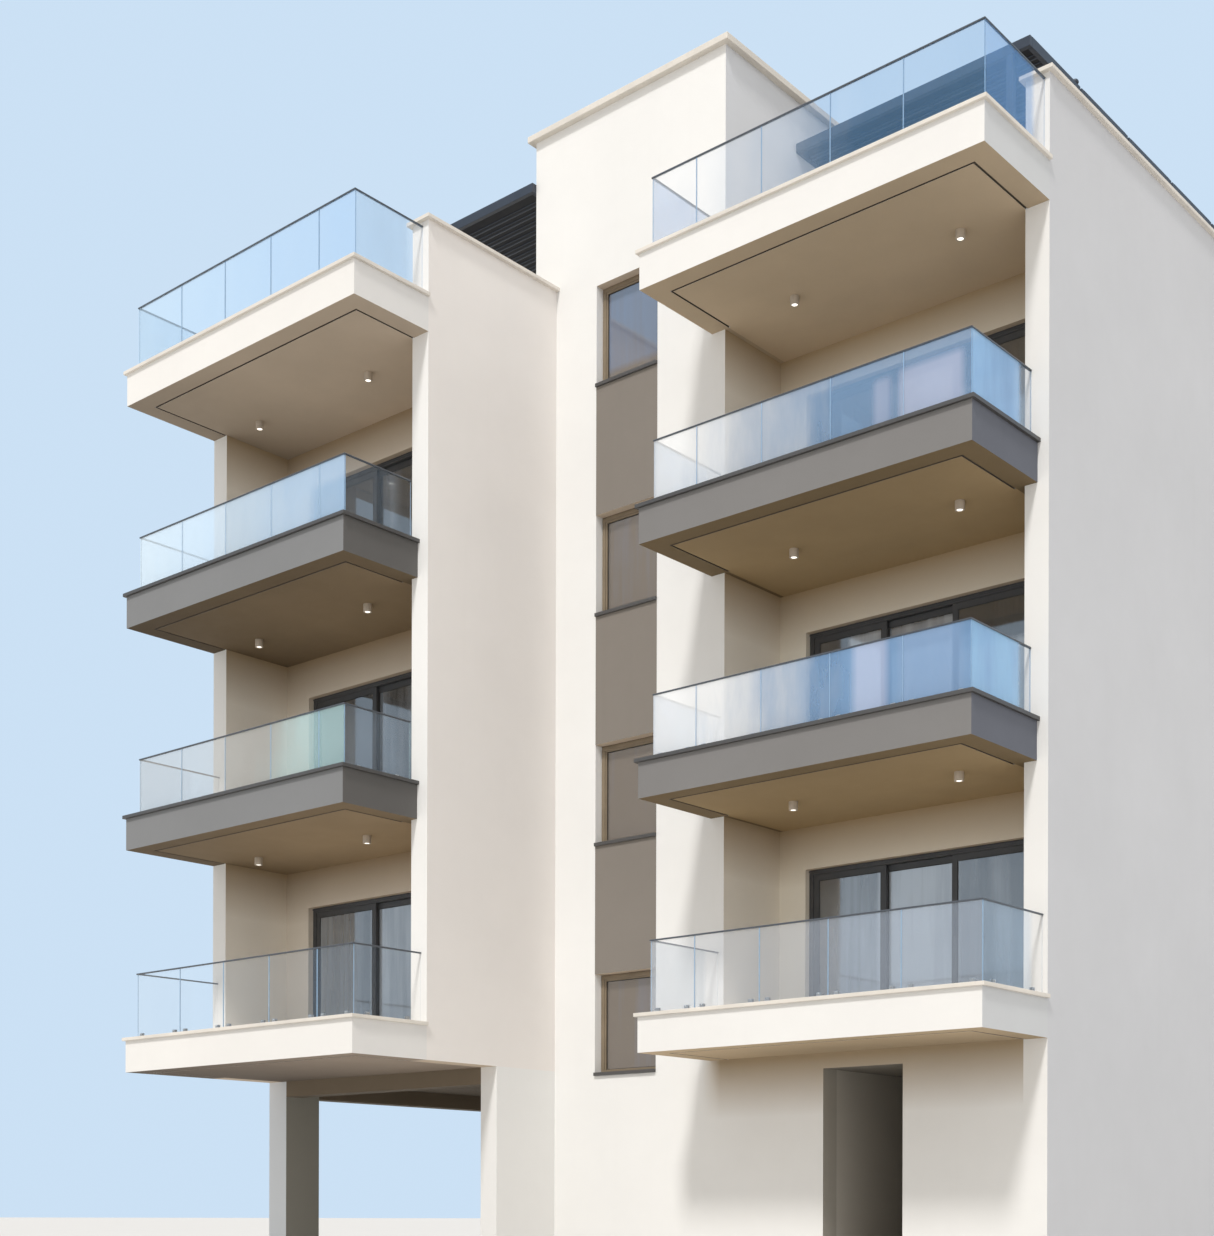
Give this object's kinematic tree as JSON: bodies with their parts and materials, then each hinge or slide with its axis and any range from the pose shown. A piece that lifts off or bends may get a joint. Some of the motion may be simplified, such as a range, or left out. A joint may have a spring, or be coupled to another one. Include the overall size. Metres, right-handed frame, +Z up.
{
  "type": "apartment block",
  "caption": "Modern block of flats with a left and a right wing of cantilevered glass-railed balconies, a stair tower between them, a carport below and pergolas on the roof terrace",
  "frame": {"origin": "middle of the footprint's bounding box, at ground level", "axes": "+Z up, -Y the front with the entrance, +X along the front towards the right wing"},
  "size_m": [12.475, 13.33, 16.135],
  "materials": {
    "concrete": "matt",
    "white_render": "matt",
    "pale_render": "matt",
    "grey_render": "matt",
    "pale_stone": "honed",
    "dark_stone": "honed",
    "glass": "clear",
    "dark_metal": "satin",
    "steel": "satin",
    "light_white": "satin"
  },
  "bodies": {
    "root": {"ground_slab": "concrete", "left_floors": "concrete", "right_floors": "concrete", "stair_landings": "concrete", "left_side_piers": "white_render", "left_wing_wall": "white_render", "carport_wall": "white_render", "carport_columns": "white_render", "carport_beams": "white_render", "tower_front_piers": "white_render", "tower_spandrels": "white_render", "tower_side_walls": "white_render", "tower_rear_wall": "white_render", "tower_roof": "concrete", "loggia_side_wall": "white_render", "right_wing_wall": "white_render", "entrance_wall": "white_render", "entrance_passage": "pale_render", "ground_rear_wall": "white_render", "rear_piers": "white_render", "window_spandrels": "white_render", "loggia_piers": "pale_render", "door_lintels": "pale_render", "left_white_balconies": "white_render", "left_grey_balconies": "grey_render", "right_white_balconies": "white_render", "right_grey_balconies": "grey_render", "pale_copings": "pale_stone", "dark_copings": "dark_stone", "left_balustrade_glass": "glass", "right_balustrade_glass": "glass", "handrails": "dark_metal", "glass_clamps": "steel", "sliding_door_frames": "dark_metal", "sliding_door_sashes": "dark_metal", "sliding_door_glass": "glass", "window_frames": "dark_metal", "window_glass": "glass", "window_sills": "dark_stone", "stair_panels": "grey_render", "pergola_posts": "dark_metal", "pergola_beams": "dark_metal", "pergola_rails": "dark_metal", "pergola_louvres": "dark_metal", "downlights": "light_white"}
  },
  "joints": []
}
